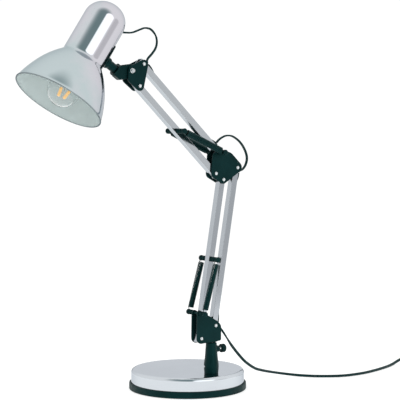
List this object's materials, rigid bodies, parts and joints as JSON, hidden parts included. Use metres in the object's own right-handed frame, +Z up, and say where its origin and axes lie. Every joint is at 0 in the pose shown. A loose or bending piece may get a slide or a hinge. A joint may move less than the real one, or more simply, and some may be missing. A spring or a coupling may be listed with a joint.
{
  "type": "swing arm desk lamp",
  "caption": "Chrome desk lamp with a bell shade on a spring-balanced parallel swing arm, standing on a round weighted base with a trailing flex.",
  "frame": {"origin": "centre of the underside of the base", "axes": "+X along the arm's plane, from the shade towards the elbow; +Y towards the side away from the post; +Z up"},
  "size_m": [0.8605, 0.2399, 0.5621],
  "materials": {
    "chrome": "polished",
    "black_enamel": "satin",
    "black_plastic": "satin",
    "spring_steel": "satin",
    "rivet_steel": "bright",
    "cast_iron": "rough",
    "fibre_board": "felted",
    "flex": "satin",
    "bakelite": "gloss",
    "bulb_glass": "clear",
    "bulb_brass": "bright"
  },
  "bodies": {
    "base": {"base_cover": "chrome", "base_weight": "cast_iron", "base_ring": "black_plastic", "base_plate": "fibre_board", "post_socket": "black_enamel", "post_bolt": "rivet_steel", "mains_cord": "flex", "switch_case": "black_plastic", "coil_lead": "flex", "cord_coil": "flex", "cord_tie": "black_plastic", "plug_lead": "flex", "plug_body": "black_plastic"},
    "clamp": {"clamp_screw": "black_plastic"},
    "yoke": {"yoke_plate_near": "black_enamel", "yoke_plate_far": "black_enamel", "swivel_block": "black_enamel", "yoke_spring_pin": "black_plastic", "rivet_yoke_front": "rivet_steel", "rivet_yoke_rear": "rivet_steel", "lower_spring_near": "spring_steel", "lower_spring_far": "spring_steel"},
    "lower_front": {"lower_front_bar": "chrome", "lower_arm_pin": "black_plastic"},
    "lower_rear": {"lower_rear_bar": "chrome", "hood_lower_foot": "black_plastic", "hood_lower_top": "black_plastic", "lower_cord_run": "flex"},
    "elbow": {"elbow_plate_near": "black_enamel", "elbow_plate_far": "black_enamel", "rivet_elbow_upper": "rivet_steel", "rivet_elbow_front": "rivet_steel", "rivet_elbow_rear": "rivet_steel", "elbow_spring_pin": "black_plastic", "upper_spring_near": "spring_steel", "upper_spring_far": "spring_steel", "elbow_cord_loop": "flex"},
    "upper_front": {"upper_front_bar": "chrome", "upper_arm_pin": "black_plastic"},
    "upper_rear": {"upper_rear_bar": "chrome", "hood_upper_foot": "black_plastic", "hood_upper_top": "black_plastic", "upper_cord_run": "flex"},
    "head_bracket": {"head_plate_near": "black_enamel", "head_plate_far": "black_enamel", "rivet_head_front": "rivet_steel", "rivet_head_rear": "rivet_steel", "tilt_bolt": "rivet_steel", "head_cord_loop": "flex"},
    "tilt_nut": {"wing_nut": "black_enamel"},
    "knuckle": {"tilt_knuckle": "black_enamel"},
    "head": {"shade": "chrome", "saddle": "black_enamel", "stem": "black_enamel", "swivel_washer": "black_enamel", "neck_grommet": "black_plastic", "lampholder": "bakelite", "bulb_cap": "bulb_brass", "bulb_glass": "bulb_glass"},
    "rocker": {"switch_rocker": "black_plastic"}
  },
  "joints": [
    {"name": "post_swivel", "type": "hinge", "parent": "base", "child": "yoke", "pos_m": [0.0056, -0.0519, 0.0742], "axis": [0, 0, 1], "range_deg": [-120, 120], "deforming": ["mains_cord"]},
    {"name": "clamp_turn", "type": "hinge", "parent": "base", "child": "clamp", "pos_m": [0.0056, -0.0519, 0.064], "axis": [1, 0, 0], "range_deg": [-180, 180]},
    {"name": "lower_arm", "type": "hinge", "parent": "yoke", "child": "lower_front", "pos_m": [-0.0175, -0.0519, 0.0828], "axis": [0, 1, 0], "range_deg": [-2, 27], "deforming": ["lower_spring_near", "lower_spring_far"]},
    {"name": "lower_link", "type": "hinge", "parent": "yoke", "child": "lower_rear", "pos_m": [0.0083, -0.0519, 0.0998], "axis": [0, 1, 0], "range_deg": [-2, 27]},
    {"name": "elbow_level", "type": "hinge", "parent": "lower_rear", "child": "elbow", "pos_m": [0.04826, -0.0519, 0.32996], "axis": [0, 1, 0], "range_deg": [-27, 2]},
    {"name": "upper_arm", "type": "hinge", "parent": "elbow", "child": "upper_front", "pos_m": [0.00876, -0.0519, 0.32216], "axis": [0, 1, 0], "range_deg": [-53, 38], "deforming": ["upper_spring_near", "upper_spring_far", "elbow_cord_loop"]},
    {"name": "upper_link", "type": "hinge", "parent": "elbow", "child": "upper_rear", "pos_m": [0.01556, -0.0519, 0.35286], "axis": [0, 1, 0], "range_deg": [-53, 38]},
    {"name": "head_level", "type": "hinge", "parent": "upper_rear", "child": "head_bracket", "pos_m": [-0.11677, -0.0519, 0.47752], "axis": [0, 1, 0], "range_deg": [-38, 53]},
    {"name": "shade_tilt", "type": "hinge", "parent": "head_bracket", "child": "knuckle", "pos_m": [-0.13677, -0.0519, 0.46762], "axis": [0, 1, 0], "range_deg": [-60, 20], "deforming": ["head_cord_loop"]},
    {"name": "wing_nut_turn", "type": "hinge", "parent": "head_bracket", "child": "tilt_nut", "pos_m": [-0.13677, -0.0519, 0.46762], "axis": [0, 1, 0], "range_deg": [-180, 180]},
    {"name": "shade_swivel", "type": "hinge", "parent": "knuckle", "child": "head", "pos_m": [-0.202, -0.0519, 0.4976], "axis": [0.829, 0, -0.5592], "range_deg": [-60, 60]},
    {"name": "rocker_tip", "type": "hinge", "parent": "base", "child": "rocker", "pos_m": [0.46, -0.04, 0.0138], "axis": [0.1392, 0.9903, 0], "range_deg": [0, 10]}
  ],
  "couplings": [
    {"joint": "lower_link", "follows": "lower_arm", "ratio": 1},
    {"joint": "elbow_level", "follows": "lower_arm", "ratio": -1},
    {"joint": "upper_link", "follows": "upper_arm", "ratio": 1},
    {"joint": "head_level", "follows": "upper_arm", "ratio": -1}
  ]
}
